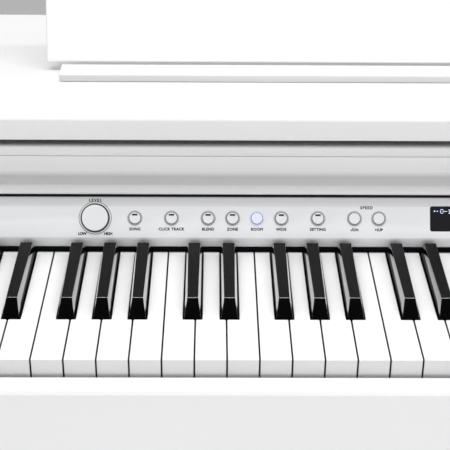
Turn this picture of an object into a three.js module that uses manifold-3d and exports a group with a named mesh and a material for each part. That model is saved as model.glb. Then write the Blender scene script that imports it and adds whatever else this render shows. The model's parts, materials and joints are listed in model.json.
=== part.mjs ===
// Console digital piano: 88 keys, control panel, sliding key cover, folding music rest, stand and pedals.
// Millimetres. +Z is up, +X is the player's right, and the player sits on the -Y side.
// The origin is on the floor, under the middle of the instrument.
import * as THREE from "three";
import { mergeVertices } from "three/addons/utils/BufferGeometryUtils.js";
import Module from "manifold-3d";

const wasm = await Module();
wasm.setup();

// ---------------------------------------------------------------- driving dimensions
// Clearances
const joinGap = 0.3; // between fixed pieces that meet
const slideGap = 0.8; // around a piece that slides in a groove
const buttonGap = 0.35; // around a button in its hole
const keyGap = 1; // between neighbouring keys

// Keyboard. Y runs back from the front edge of the white keys, Z up from their tops.
const whiteTopHeight = 735; // white key tops above the floor
const whitePitch = 23.5;
const whiteCount = 52;
const whiteLength = 218;
const whiteDepth = 20; // height of the key's body
const keyPivotY = 205;
const whiteDip = 10; // travel at the front edge
const notchStart = 51.4; // front of the cut-outs beside the black keys
const notchWidth = 14.9;
const blackWidth = 12.8;
const blackHeight = 12;
const blackWaist = 5; // the sides slope in above it
const blackStart = 52.4;
const blackEnd = 146;
const blackFrontSlope = 10.6;
const blackRearSlope = 1;
const blackTopFront = 7.5; // width of the top at its front end
const blackTopRear = 9.5;
const blackLeverTop = -1;
const blackLeverDepth = 16;
const sharpOffsets = [-2.1, 2.3, null, -3.35, 0, 3.4, null]; // black key from the seam right of C, D, E, F, G, A, B
const firstLetter = 5; // the lowest white key is an A
const soloFirst = 16; // white keys of the octave whose keys are single: C3 ...
const soloLast = 22; // ... to B3
const keyBarDepth = 5.5;
const keyBarWidth = 12;
const keyBarClearance = 1.5;
const blackBarWidth = 10;

// Key frame under the keys
const frameSheet = 3;
const frameStart = 8;
const frontRailWidth = 22;
const pivotRailWidth = 14;
const frameClearance = 1.5;

// Case boards
const sideThickness = 28;
const endBlockWidth = 46; // from the last key to the side panel
const armReach = 25; // side panels in front of the white keys
const keybedThickness = 20;
const keybedDrop = 53; // keybed's top face below the white key tops
const keySlipThickness = 18;
const keySlipGap = 3.5; // between the key slip and the keys
const keySlipDrop = 12;
const lidThickness = 19.7;
const lidGap = 7; // over the cover rail
const lidCoverGap = 2.5; // least gap over the open key cover
const lidFront = 167;
const lidEdge = 3.2;
const lidLowerEdge = 0.6;
const rearThickness = 12;
const rearClearance = 40; // behind the open key cover
const edgeRadius = 2.5;

// Control panel
const panelFront = 151;
const lipBottom = 4.4;
const lipHeight = 8.6;
const panelLength = 33; // up the sloping face
const panelAngle = 57.9; // of the face, from level
const panelSheet = 3;
const controlLine = 15.9; // buttons' centres, up the face
const buttonDiameter = 9.2;
const buttonProud = 1.6;
const buttonLength = 6.6;
const knobX = -295;
const knobDiameter = 22.5;
const knobProud = 3;
const knobStem = 6;
const displayWidth = 40;
const displayHeight = 20.2;
const displayProud = 0.2;
const displayThickness = 2.4;
const boardThickness = 1.6;
const panelBoardDepth = 8; // board's front face behind the panel's face
const feltThickness = 4.5;
const feltLift = 0.4; // above the white keys
const feltReach = 1.5; // in front of the panel
const panelButtons = [
  ["demo_button", -262.5],
  ["metronome_button", -232.5],
  ["layer_button", -202.5],
  ["split_button", -182.5],
  ["reverb_button", -162.5],
  ["chorus_button", -142.5],
  ["function_button", -112.5],
  ["minus_button", -82.5],
  ["plus_button", -62.5],
  ["voice_down_button", 62.5],
  ["voice_up_button", 82.5],
];
const powerInset = 96.7; // power button from the panel's right end

// Sliding key cover
const coverAngle = 11.5; // slope of its track
const coverTravel = 182;
const coverBoard = 6.5;
const coverGap = 3.1; // under the rail, over the panel's top edge
const coverOverlap = 8; // of the closed board behind the panel's top edge
const railFront = 168;
const railThickness = 13.7;
const railHeight = 42.4;
const guideWall = 2;
const guideReach = 11.7; // of the track in from the side panel
const guideStart = 12;

// Music rest
const restWidth = 682;
const restCorner = 12;
const ledgeWidth = 656;
const ledgeCorner = 2;
const ledgeFront = 239.2;
const ledgeDepth = 22.8;
const ledgeThickness = 6.5;
const restHeight = 137;
const restThickness = 9;
const restAngle = 72; // from level, in use
const restHingeGap = 7.5; // hinge line behind the ledge
const restHingeLift = 10.4; // above the lid
const propWire = 4;
const propPivot = 60; // up the rest's back
const propAngle = 60; // from level, in use
const propWidth = 110;
const propGap = 0.4; // between the folded prop and the rest's back
const propFootGap = 1; // under the prop's foot

// Stand
const footHeight = 60;
const footWidth = 30;
const footSetback = 7;
const legDepth = 139;
const armDrop = 88; // arm's underside below the white key tops
const backBoardThickness = 15;
const backBoardSetback = 8;
const pedalRailBottom = 72;
const pedalRailHeight = 113;
const pedalRailDepth = 100;
const pedalRailWall = 12;

// Pedals
const pedalPitch = 68;
const pedalHeight = 106;
const pedalThickness = 9;
const pedalWidth = 24;
const pedalNeck = 18;
const pedalReach = 72; // in front of the pedal rail
const pedalArm = 72; // from the rail's front to the pivot
const pedalDip = 7; // degrees
const pedalGap = 2;
const adjusterDiameter = 26;

// Electronics and speakers
const speakerInset = 226.7; // speakers' middles from the keybed's ends
const speakerDiameter = 130;
const speakerHole = 104;
const speakerHeight = 52;
const speakerFlange = 4;
const mainBoardWidth = 300;
const mainBoardDepth = 80;
const standoff = 8;
const headphoneInset = 91.7; // box's middle from the left end of the keybed
const headphoneSize = [70, 60, 32];
const headphoneHole = 7;
const jackInset = 156.7; // plate's middle from the rear panel's end
const jackSize = [120, 40];
const jackSheet = 2;

// ---------------------------------------------------------------- places worked out from them
const rad = THREE.MathUtils.degToRad;
const keyboardHalf = (whiteCount * whitePitch) / 2;
const innerHalf = keyboardHalf + endBlockWidth; // inner faces of the side panels
const outerHalf = innerHalf + sideThickness;
const fittedHalf = innerHalf - joinGap;
const coverSlope = Math.tan(rad(coverAngle));
const coverTravelY = coverTravel * Math.cos(rad(coverAngle));

const faceFoot = new THREE.Vector2(panelFront + 0.5, lipBottom + lipHeight);
const faceRun = new THREE.Vector2(Math.cos(rad(panelAngle)), Math.sin(rad(panelAngle)));
const faceTop = faceFoot.clone().addScaledVector(faceRun, panelLength);

const railBottom = faceTop.y + coverGap;
const railBack = railFront + railThickness;
const coverRear = faceTop.x + coverOverlap + coverTravelY;
const rearFace = coverRear + rearClearance + rearThickness;
const rearInner = rearFace - rearThickness;
const railTop = railBottom + railHeight;
const coverBoardRise = coverBoard / Math.cos(rad(coverAngle)); // the board's thickness, upright
const coverTop = railBottom + (coverRear - railFront) * coverSlope + coverBoardRise;
const lidUnderside = Math.max(railTop + lidGap, coverTop + lidCoverGap);
const lidTop = lidUnderside + lidThickness;
const keybedFront = joinGap - keySlipGap;
const keybedBottom = -keybedDrop - keybedThickness;
const keybedSeat = joinGap - keybedDrop; // bottom of what stands on the keybed

const keyPivotZ = -0.7 * whiteDepth;
const allButtons = [...panelButtons, ["power_button", fittedHalf - powerInset]];
const headphoneX = headphoneInset - fittedHalf;
const jackX = jackInset - fittedHalf;
const speakerX = fittedHalf - speakerInset;
const keyBarTop = -whiteDepth - keyBarClearance;
const keyBarBottom = keyBarTop - keyBarDepth;
const blackBarStart = whiteLength + 4;
const blackBarEnd = blackBarStart + blackBarWidth;
const frameEnd = blackBarEnd + 8;
const panelRear = frameEnd + 6;

const overallDepth = armReach + rearFace;
const keyFrontY = armReach - overallDepth / 2;

/** Height of the key cover's underside, and of its track, at a distance behind the key fronts. */
const coverHeight = (y) => railBottom + (y - railFront) * coverSlope;

// ---------------------------------------------------------------- materials
const finish = (color, roughness, metalness = 0) =>
  new THREE.MeshStandardMaterial({ color, roughness, metalness });
const lacquer = finish(0xf4f4f4, 0.25);
const melamine = finish(0xdcdcdc, 0.6);
const panelWhite = finish(0xececee, 0.4);
const whiteKeyFinish = finish(0xfafaf8, 0.2);
const blackKeyFinish = finish(0x141415, 0.35);
const buttonFinish = finish(0xe6e7ea, 0.35);
const litButtonFinish = finish(0xdfe6ff, 0.3);
const feltFinish = finish(0x0b0b0c, 0.95);
const displayFinish = finish(0x06070a, 0.1);
const steel = finish(0xb9bcc0, 0.35, 1);
const brass = finish(0xc9a24a, 0.3, 1);
const blackPlastic = finish(0x1c1c1e, 0.5);
const greyPlastic = finish(0xc9cacc, 0.5);
const circuitGreen = finish(0x1f5b3a, 0.6);

// ---------------------------------------------------------------- geometry helpers
/** A closed outline through corners [a, b, radius], with true arcs where a corner has a radius. */
function outline(corners, arcSteps = 6) {
  const points = [];
  corners.forEach(([a, b, radius = 0], i) => {
    const corner = new THREE.Vector2(a, b);
    if (radius === 0) {
      points.push(corner);
      return;
    }
    const before = corners.at(i - 1);
    const after = corners[(i + 1) % corners.length];
    const toBefore = new THREE.Vector2(before[0], before[1]).sub(corner).normalize();
    const toAfter = new THREE.Vector2(after[0], after[1]).sub(corner).normalize();
    const halfAngle = Math.acos(toBefore.dot(toAfter)) / 2;
    const tangent = radius / Math.tan(halfAngle);
    const bisector = toBefore.clone().add(toAfter).normalize();
    const centre = corner.clone().addScaledVector(bisector, radius / Math.sin(halfAngle));
    const start = corner.clone().addScaledVector(toBefore, tangent).sub(centre);
    const end = corner.clone().addScaledVector(toAfter, tangent).sub(centre);
    const sweep = Math.atan2(start.cross(end), start.dot(end));
    for (let step = 0; step <= arcSteps; step += 1) {
      const turned = start.clone().rotateAround(new THREE.Vector2(), (sweep * step) / arcSteps);
      points.push(turned.add(centre));
    }
  });
  return new THREE.Shape(points);
}

/** Prism of a (y, z) outline from x0 to x1. */
function alongX(shape, x0, x1) {
  const prism = new THREE.ExtrudeGeometry(shape, { depth: x1 - x0, bevelEnabled: false });
  return prism.applyMatrix4(new THREE.Matrix4().set(0, 0, 1, x0, 1, 0, 0, 0, 0, 1, 0, 0, 0, 0, 0, 1));
}

/** Prism of an (x, y) outline from z0 to z1. */
function alongZ(shape, z0, z1) {
  const prism = new THREE.ExtrudeGeometry(shape, { depth: z1 - z0, bevelEnabled: false });
  return prism.translate(0, 0, z0);
}

/** Prism of an (x, z) outline from y0 to y1. */
function alongY(shape, y0, y1) {
  const prism = new THREE.ExtrudeGeometry(shape, { depth: y1 - y0, bevelEnabled: false });
  return prism.rotateX(Math.PI / 2).translate(0, y1, 0);
}

function block([x0, x1], [y0, y1], [z0, z1]) {
  const box = new THREE.BoxGeometry(x1 - x0, y1 - y0, z1 - z0);
  return box.translate((x0 + x1) / 2, (y0 + y1) / 2, (z0 + z1) / 2);
}

/** Cylinder along Z from z0 to z1. */
function disc(diameter, z0, z1, sides = 20, x = 0, y = 0) {
  const cylinder = new THREE.CylinderGeometry(diameter / 2, diameter / 2, z1 - z0, sides);
  return cylinder.rotateX(Math.PI / 2).translate(x, y, (z0 + z1) / 2);
}

/** Cylinder along Y from y0 to y1. */
function rodAlongY(diameter, x, z, y0, y1, sides = 12) {
  const cylinder = new THREE.CylinderGeometry(diameter / 2, diameter / 2, y1 - y0, sides);
  return cylinder.translate(x, (y0 + y1) / 2, z);
}

/** Six-faced solid between a lower and an upper quadrilateral, both counter-clockwise from above. */
function hexahedron(lower, upper) {
  const geometry = new THREE.BufferGeometry();
  const corners = [...lower, ...upper].flat();
  const sides = [0, 1, 2, 3].flatMap((i) => {
    const next = (i + 1) % 4;
    return [i, next, next + 4, i, next + 4, i + 4];
  });
  geometry.setAttribute("position", new THREE.Float32BufferAttribute(corners, 3));
  geometry.setIndex([0, 2, 1, 0, 3, 2, 4, 5, 6, 4, 6, 7, ...sides]);
  return geometry;
}

function toSolid(geometry) {
  const bare = geometry.clone();
  bare.deleteAttribute("normal");
  bare.deleteAttribute("uv");
  const merged = mergeVertices(bare, 1e-4);
  const vertProperties = new Float32Array(merged.attributes.position.array);
  const triVerts = new Uint32Array(merged.index.array);
  return new wasm.Manifold(new wasm.Mesh({ numProp: 3, vertProperties, triVerts }));
}

function fromSolid(solid) {
  const mesh = solid.getMesh();
  const geometry = new THREE.BufferGeometry();
  geometry.setAttribute("position", new THREE.BufferAttribute(mesh.vertProperties, 3));
  geometry.setIndex(new THREE.BufferAttribute(mesh.triVerts, 1));
  geometry.computeVertexNormals();
  return geometry;
}

const join = (...geometries) => fromSolid(geometries.map(toSolid).reduce((a, b) => a.add(b)));
const cut = (body, ...tools) => fromSolid(tools.map(toSolid).reduce((a, b) => a.subtract(b), toSolid(body)));

/** Adds a named piece to a group. */
function piece(group, name, geometry, material) {
  const mesh = new THREE.Mesh(geometry, material);
  mesh.name = name;
  group.add(mesh);
  return mesh;
}

const bothSides = [
  ["left", -1],
  ["right", 1],
];

/** The span between two distances from the middle, on the side given by its sign. */
const spanOn = (side, inner, outer) => (side < 0 ? [-outer, -inner] : [inner, outer]);

// ---------------------------------------------------------------- groups
const piano = new THREE.Group();
const keyboard = new THREE.Group(); // origin at the front edge of the white key tops
keyboard.position.set(0, keyFrontY, whiteTopHeight);
const stand = new THREE.Group(); // the same, down on the floor
stand.position.set(0, keyFrontY, 0);
const panelFace = new THREE.Group(); // +Y up the sloping face, +Z out of it
panelFace.position.set(0, faceFoot.x, faceFoot.y);
panelFace.rotation.x = rad(panelAngle);
keyboard.add(panelFace);
piano.add(keyboard, stand);

// ---------------------------------------------------------------- keys
const whiteLetter = (index) => (index + firstLetter) % 7;
const seamX = (index) => index * whitePitch - keyboardHalf; // left seam of a white key
const isSolo = (index) => index >= soloFirst && index <= soloLast;

/** Middle of the black key on a white key's right seam, or null where there is none. */
function sharpX(index) {
  const offset = sharpOffsets[whiteLetter(index)];
  const inside = index >= 0 && index < whiteCount - 1;
  return inside && offset !== null ? seamX(index + 1) + offset : null;
}

function whiteKey(index) {
  const left = seamX(index) + keyGap / 2;
  const right = seamX(index + 1) - keyGap / 2;
  const leftSharp = sharpX(index - 1);
  const rightSharp = sharpX(index);
  const tailLeft = leftSharp === null ? left : leftSharp + notchWidth / 2;
  const tailRight = rightSharp === null ? right : rightSharp - notchWidth / 2;
  const corners = [
    [left, 0],
    [right, 0],
    ...(rightSharp === null ? [] : [[right, notchStart]]),
    ...(rightSharp === null ? [] : [[tailRight, notchStart]]),
    [tailRight, whiteLength],
    [tailLeft, whiteLength],
    ...(leftSharp === null ? [] : [[tailLeft, notchStart]]),
    ...(leftSharp === null ? [] : [[left, notchStart]]),
  ];
  return alongZ(outline(corners), -whiteDepth, 0);
}

function blackKey(x, leverEnd) {
  const base = blackLeverTop - 0.5;
  const ring = (z, frontHalf, rearHalf, y0, y1) => [
    [x - frontHalf, y0, z],
    [x + frontHalf, y0, z],
    [x + rearHalf, y1, z],
    [x - rearHalf, y1, z],
  ];
  const rise = (blackWaist - base) / (blackHeight - base);
  const waist = ring(
    blackWaist,
    blackWidth / 2,
    blackWidth / 2,
    blackStart + blackFrontSlope * rise,
    blackEnd - blackRearSlope * rise,
  );
  const top = ring(
    blackHeight,
    blackTopFront / 2,
    blackTopRear / 2,
    blackStart + blackFrontSlope,
    blackEnd - blackRearSlope,
  );
  const foot = ring(base, blackWidth / 2, blackWidth / 2, blackStart, blackEnd);
  const lever = block(
    [x - blackWidth / 2, x + blackWidth / 2],
    [blackStart + keyGap, leverEnd],
    [blackLeverTop - blackLeverDepth, blackLeverTop],
  );
  return join(hexahedron(foot, waist), hexahedron(waist, top), lever);
}

const whiteIndexes = Array.from({ length: whiteCount }, (_, index) => index);
const blackIndexes = whiteIndexes.filter((index) => sharpX(index) !== null);
const soloBlack = (index) => index >= soloFirst && index < soloLast;
const keyLetters = ["c", "d", "e", "f", "g", "a", "b"];

for (const index of whiteIndexes.filter(isSolo)) {
  piece(keyboard, `key_${keyLetters[whiteLetter(index)]}3`, whiteKey(index), whiteKeyFinish);
}
for (const index of blackIndexes.filter(soloBlack)) {
  const name = `key_${keyLetters[whiteLetter(index)]}_sharp3`;
  piece(keyboard, name, blackKey(sharpX(index), whiteLength), blackKeyFinish);
}

// The other keys hang on a bar each: the white one under the keys, the black one behind them.
const barSpan = [keyPivotY - keyBarWidth / 2 - 3, keyPivotY + keyBarWidth / 2 - 3];
const whiteBars = [
  block([keyGap / 2 - keyboardHalf, keyboardHalf - keyGap / 2], barSpan, [keyBarBottom, keyBarTop]),
  block([keyGap / 2 - keyboardHalf, seamX(soloFirst) - keyGap], barSpan, [keyBarBottom, 0.5 - whiteDepth]),
  block([seamX(soloLast + 1) + keyGap, keyboardHalf - keyGap / 2], barSpan, [keyBarBottom, 0.5 - whiteDepth]),
];
const setWhites = whiteIndexes.filter((index) => !isSolo(index)).map(whiteKey);
piece(keyboard, "white_key_set", join(...setWhites, ...whiteBars), whiteKeyFinish);

const setBlackX = blackIndexes.filter((index) => !soloBlack(index)).map(sharpX);
const blackBar = block(
  [setBlackX.at(0) - blackWidth / 2, setBlackX.at(-1) + blackWidth / 2],
  [blackBarStart, blackBarEnd],
  [blackLeverTop - blackLeverDepth, blackLeverTop - keyBarClearance],
);
const setBlacks = setBlackX.map((x) => blackKey(x, blackBarEnd - 1));
piece(keyboard, "black_key_set", join(...setBlacks, blackBar), blackKeyFinish);

// Key frame: one sheet with a stop rail under the key fronts, a pivot rail and a rear wall.
const frameBottom = keybedSeat;
const frameFloor = frameBottom + frameSheet;
const stopTop = -whiteDepth - whiteDip - frameClearance;
const pivotTop = keyBarBottom - frameClearance;
const pivotRailStart = keyPivotY - pivotRailWidth / 2;
const frameOutline = outline([
  [frameStart, frameBottom],
  [frameEnd, frameBottom],
  [frameEnd, blackLeverTop - keyBarClearance],
  [frameEnd - frameSheet, blackLeverTop - keyBarClearance],
  [frameEnd - frameSheet, frameFloor],
  [pivotRailStart + pivotRailWidth, frameFloor],
  [pivotRailStart + pivotRailWidth, pivotTop],
  [pivotRailStart, pivotTop],
  [pivotRailStart, frameFloor],
  [frameStart + frontRailWidth, frameFloor],
  [frameStart + frontRailWidth, stopTop],
  [frameStart, stopTop],
]);
piece(keyboard, "key_frame", alongX(frameOutline, -keyboardHalf, keyboardHalf), steel);

// ---------------------------------------------------------------- case
// Side panel: a low arm beside the keys that sweeps up to the lid, and a leg under its rear half.
const footTop = footHeight + joinGap - whiteTopHeight;
const armTopFront = 30;
const armTopRear = 58;
const sideOutline = outline([
  [rearFace - legDepth, footTop],
  [rearFace, footTop],
  [rearFace, lidUnderside - joinGap],
  [lidFront + 8, lidUnderside - joinGap, edgeRadius],
  [lidFront - 17, armTopRear, 44],
  [-armReach, armTopFront, 16],
  [-armReach, -armDrop, 10],
  [rearFace - legDepth, -armDrop, 64],
]);
for (const [name, side] of bothSides) {
  const [x0, x1] = spanOn(side, innerHalf, outerHalf);
  piece(keyboard, `${name}_side_panel`, alongX(sideOutline, x0, x1), lacquer);
}

const speakerY = (panelRear + rearInner) / 2;
const speakerHoles = [-speakerX, speakerX].map((x) =>
  disc(speakerHole, keybedBottom - 1, 1 - keybedDrop, 32, x, speakerY),
);
const keybed = block(
  [-fittedHalf, fittedHalf],
  [keybedFront, rearInner - joinGap],
  [keybedBottom, -keybedDrop],
);
piece(keyboard, "keybed", cut(keybed, ...speakerHoles), lacquer);

const keySlip = outline([
  [-keySlipGap - keySlipThickness, keybedBottom, edgeRadius],
  [-keySlipGap, keybedBottom],
  [-keySlipGap, -keySlipDrop, edgeRadius],
  [-keySlipGap - keySlipThickness, -keySlipDrop, edgeRadius * 2],
]);
piece(keyboard, "key_slip", alongX(keySlip, -fittedHalf, fittedHalf), lacquer);

// Key blocks fill the ends of the keyboard, with their tops just under the cover's tracks.
const blockEnd = panelFront - 3;
const blockTop = (y) => coverHeight(y) - slideGap - guideWall - 0.5;
const keyBlock = outline([
  [keybedFront, keybedSeat],
  [blockEnd, keybedSeat],
  [blockEnd, blockTop(blockEnd), edgeRadius],
  [keybedFront, blockTop(keybedFront), edgeRadius],
]);
for (const [name, side] of bothSides) {
  const [x0, x1] = spanOn(side, keyboardHalf + 1.5, fittedHalf);
  piece(keyboard, `${name}_key_block`, alongX(keyBlock, x0, x1), lacquer);
}

const lidOutline = outline([
  [lidFront, lidUnderside, lidLowerEdge],
  [rearFace, lidUnderside],
  [rearFace, lidTop, lidEdge],
  [lidFront, lidTop, lidEdge],
]);
piece(keyboard, "lid", alongX(lidOutline, -outerHalf, outerHalf), lacquer);

const jackZ = keybedBottom + 50;
const jackHole = (grow, y0, y1) =>
  block(
    [jackX - jackSize[0] / 2 - grow, jackX + jackSize[0] / 2 + grow],
    [y0, y1],
    [jackZ - jackSize[1] / 2 - grow, jackZ + jackSize[1] / 2 + grow],
  );
const rearPanel = block(
  [-fittedHalf, fittedHalf],
  [rearInner, rearFace],
  [keybedBottom, lidUnderside - joinGap],
);
piece(keyboard, "rear_panel", cut(rearPanel, jackHole(joinGap, rearInner - 1, rearFace + 1)), melamine);

// Jack plate, set a little way into the rear panel, with round sockets and one square one.
const plateFace = rearFace - 3;
const socketDepth = 14;
const socketHole = (x, size) => rodAlongY(size, jackX + x, jackZ, plateFace - socketDepth, plateFace + 1);
const plateBody = join(
  jackHole(0, plateFace - jackSheet, plateFace),
  block(
    [jackX - jackSize[0] / 2 + 6, jackX + jackSize[0] / 2 - 6],
    [plateFace - socketDepth - 4, plateFace - jackSheet + 0.1],
    [jackZ - 12, jackZ + 12],
  ),
);
const squareSocket = block(
  [jackX + 31, jackX + 43],
  [plateFace - socketDepth, plateFace + 1],
  [jackZ - 5.5, jackZ + 5.5],
);
const jackPlate = cut(plateBody, socketHole(-40, 8), socketHole(-16, 7), socketHole(8, 7), squareSocket);
piece(keyboard, "rear_jack_plate", jackPlate, blackPlastic);

// ---------------------------------------------------------------- control panel
/** Point of the panel's profile, up the face and back from it. */
function facePoint(up, back) {
  const inward = new THREE.Vector2(faceRun.y, -faceRun.x);
  const point = faceFoot.clone().addScaledVector(faceRun, up).addScaledVector(inward, back);
  return [point.x, point.y];
}

const innerTop = faceTop.y - panelSheet;
const innerUp = panelLength - (panelSheet * (1 - faceRun.x)) / faceRun.y; // inner corner, up the face
const panelOutline = outline([
  [panelFront + 12, lipBottom],
  [panelFront, lipBottom, 0.8],
  [faceFoot.x, faceFoot.y, 3],
  [faceTop.x, faceTop.y, 1.5],
  [panelRear, faceTop.y],
  [panelRear, keybedSeat],
  [panelRear - panelSheet, keybedSeat],
  [panelRear - panelSheet, innerTop],
  facePoint(innerUp, panelSheet),
  facePoint(1.5, panelSheet),
  [panelFront + panelSheet, lipBottom + panelSheet],
  [panelFront + 12, lipBottom + panelSheet],
]);
const panelSolid = alongX(panelOutline, -fittedHalf, fittedHalf);

const onFace = new THREE.Matrix4()
  .makeTranslation(0, faceFoot.x, faceFoot.y)
  .multiply(new THREE.Matrix4().makeRotationX(rad(panelAngle)));
const buttonHole = ([, x]) =>
  disc(buttonDiameter + 2 * buttonGap, -panelSheet - 1, 1, 20, x, controlLine).applyMatrix4(onFace);
const stemHole = disc(knobStem + 1, -panelSheet - 1, 1, 16, knobX, controlLine).applyMatrix4(onFace);
const displayFrame = (grow) =>
  outline(
    [-1, 1, 1, -1].map((side, i) => [
      side * (displayWidth / 2 + grow),
      controlLine + (i < 2 ? -1 : 1) * (displayHeight / 2 + grow),
      1.5 + grow,
    ]),
    4,
  );
const displayHole = alongZ(displayFrame(joinGap), -panelSheet - 1, 1).applyMatrix4(onFace);
const panelHoles = [...allButtons.map(buttonHole), stemHole, displayHole];
piece(keyboard, "control_panel", cut(panelSolid, ...panelHoles), panelWhite);

const displayWindow = alongZ(displayFrame(0), displayProud - displayThickness, displayProud);
piece(panelFace, "display_window", displayWindow, displayFinish);

for (const [name, x] of allButtons) {
  const button = disc(buttonDiameter, buttonProud - buttonLength, buttonProud, 20, x, controlLine);
  piece(panelFace, name, button, name === "reverb_button" ? litButtonFinish : buttonFinish);
}

// Volume knob: a slightly conical cap on a stem.
const knobProfile = [
  [0, -panelSheet - 2],
  [knobStem / 2, -panelSheet - 2],
  [knobStem / 2, 0.5],
  [knobDiameter / 2, 0.5],
  [knobDiameter / 2 - 0.2, knobProud - 0.7],
  [knobDiameter / 2 - 0.9, knobProud],
  [0, knobProud],
].map(([r, h]) => new THREE.Vector2(r, h));
const knob = new THREE.LatheGeometry(knobProfile, 28).rotateX(Math.PI / 2);
piece(panelFace, "volume_knob", knob.translate(knobX, controlLine, 0), buttonFinish);

const panelBoard = block(
  [knobX - 30, -knobX],
  [4, panelLength - 5],
  [-panelBoardDepth - boardThickness, -panelBoardDepth],
);
piece(panelFace, "panel_board", panelBoard, circuitGreen);

const felt = block(
  [-keyboardHalf, keyboardHalf],
  [panelFront - feltReach, panelFront - feltReach + feltThickness],
  [feltLift, lipBottom - joinGap],
);
piece(keyboard, "key_felt", felt, feltFinish);

// ---------------------------------------------------------------- sliding key cover
const guideInner = fittedHalf - guideReach;
const railHalf = guideInner - 1.2;
const railOutline = outline([
  [railFront + 0.3, railBottom],
  [railFront, railBottom + 0.5],
  [railFront, railBottom + 2.5, 0.6],
  [railFront + 7, railBottom + 5.4, 0.8],
  [railFront + 7, railBottom + 12, 5],
  [railFront + 2, railBottom + 20, 2],
  [railFront + 2, railTop - 8.85],
  [railFront + 3.8, railTop - 8.85],
  [railFront + 3.8, railTop - 8.15],
  [railFront + 2, railTop - 8.15],
  [railFront + 2, railTop, 2],
  [railBack, railTop, 1],
  [railBack, coverHeight(railBack)],
]);
piece(keyboard, "cover_rail", alongX(railOutline, -railHalf, railHalf), lacquer);

const coverStart = railBack + joinGap;
const coverOutline = outline([
  [coverStart, coverHeight(coverStart)],
  [coverRear, coverHeight(coverRear)],
  [coverRear, coverHeight(coverRear) + coverBoardRise],
  [coverStart, coverHeight(coverStart) + coverBoardRise],
]);
const coverHalf = fittedHalf - guideWall - slideGap;
piece(keyboard, "key_cover", alongX(coverOutline, -coverHalf, coverHalf), lacquer);

// Tracks: channels on the side panels that hold the cover's edges.
const guideTopRise = (coverBoard + slideGap + guideWall + joinGap) / Math.cos(rad(coverAngle));
const guideRun = Math.min(coverRear, railFront + (lidUnderside - railBottom - guideTopRise) / coverSlope);
for (const [name, side] of bothSides) {
  const wall = side * fittedHalf;
  const web = side * (fittedHalf - guideWall);
  const lip = side * guideInner;
  const channel = outline([
    [wall, -slideGap - guideWall],
    [wall, coverBoard + slideGap + guideWall],
    [lip, coverBoard + slideGap + guideWall],
    [lip, coverBoard + slideGap],
    [web, coverBoard + slideGap],
    [web, -slideGap],
    [lip, -slideGap],
    [lip, -slideGap - guideWall],
  ]);
  const start = (guideStart - railFront) / Math.cos(rad(coverAngle));
  const end = (guideRun - railFront) / Math.cos(rad(coverAngle));
  const guide = piece(keyboard, `${name}_cover_guide`, alongY(channel, start, end), greyPlastic);
  guide.position.set(0, railFront, railBottom);
  guide.rotation.x = rad(coverAngle);
}

// ---------------------------------------------------------------- music rest
const ledgeRear = ledgeFront + ledgeDepth;
const ledgeOutline = outline([
  [-ledgeWidth / 2, ledgeFront, ledgeCorner],
  [ledgeWidth / 2, ledgeFront, ledgeCorner],
  [ledgeWidth / 2, ledgeRear],
  [-ledgeWidth / 2, ledgeRear],
]);
const ledge = alongZ(ledgeOutline, lidTop + joinGap, lidTop + joinGap + ledgeThickness);
piece(keyboard, "music_ledge", ledge, lacquer);

const restHinge = new THREE.Group(); // +Y up the board, +Z towards the player
restHinge.position.set(0, ledgeRear + restHingeGap, lidTop + restHingeLift);
restHinge.rotation.x = rad(restAngle);
keyboard.add(restHinge);
const restOutline = outline([
  [-restWidth / 2, -4],
  [restWidth / 2, -4],
  [restWidth / 2, restHeight, restCorner],
  [-restWidth / 2, restHeight, restCorner],
]);
piece(restHinge, "music_rest", alongZ(restOutline, -restThickness / 2, restThickness / 2), lacquer);

// Prop: a wire U that hangs from the rest's back and stands on the lid.
const propBack = restThickness / 2 + propGap + propWire * Math.SQRT1_2;
const propPivotRise = propPivot * Math.sin(rad(restAngle)) - propBack * Math.cos(rad(restAngle));
const propFootRise = propWire * Math.SQRT1_2 + propFootGap - restHingeLift;
const propLength = (propPivotRise - propFootRise) / Math.sin(rad(propAngle));
const propHinge = new THREE.Group(); // +Y down the prop
propHinge.position.set(0, propPivot, -propBack);
propHinge.rotation.x = -rad(restAngle + propAngle);
restHinge.add(propHinge);
const wire = [-propWire / 2, propWire / 2];
const propArms = [-1, 1].map((side) =>
  block(
    [side * (propWidth / 2) - propWire / 2, side * (propWidth / 2) + propWire / 2],
    [-propWire / 2, propLength],
    wire,
  ),
);
const propPins = [-1, 1].map((side) => block(spanOn(side, propWidth / 2, propWidth / 2 + 14), wire, wire));
const propFoot = block(
  [-propWidth / 2 - propWire / 2, propWidth / 2 + propWire / 2],
  [propLength - propWire / 2, propLength + propWire / 2],
  wire,
);
piece(propHinge, "music_rest_prop", join(...propArms, ...propPins, propFoot), steel);

// ---------------------------------------------------------------- stand
const footOutline = outline([
  [footSetback - armReach, 0, 4],
  [rearFace, 0],
  [rearFace, footHeight],
  [footSetback - armReach + 30, footHeight, 60],
  [footSetback - armReach, footHeight - 30, 20],
]);
for (const [name, side] of bothSides) {
  const [x0, x1] = spanOn(side, outerHalf - footWidth, outerHalf);
  piece(stand, `${name}_foot`, alongX(footOutline, x0, x1), lacquer);
}

const railTopZ = pedalRailBottom + pedalRailHeight;
const backBoardFront = rearFace - backBoardSetback - backBoardThickness;
const backBoard = block(
  [-fittedHalf, fittedHalf],
  [backBoardFront, backBoardFront + backBoardThickness],
  [railTopZ + joinGap, whiteTopHeight + keybedBottom - joinGap],
);
piece(stand, "back_board", backBoard, lacquer);

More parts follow.
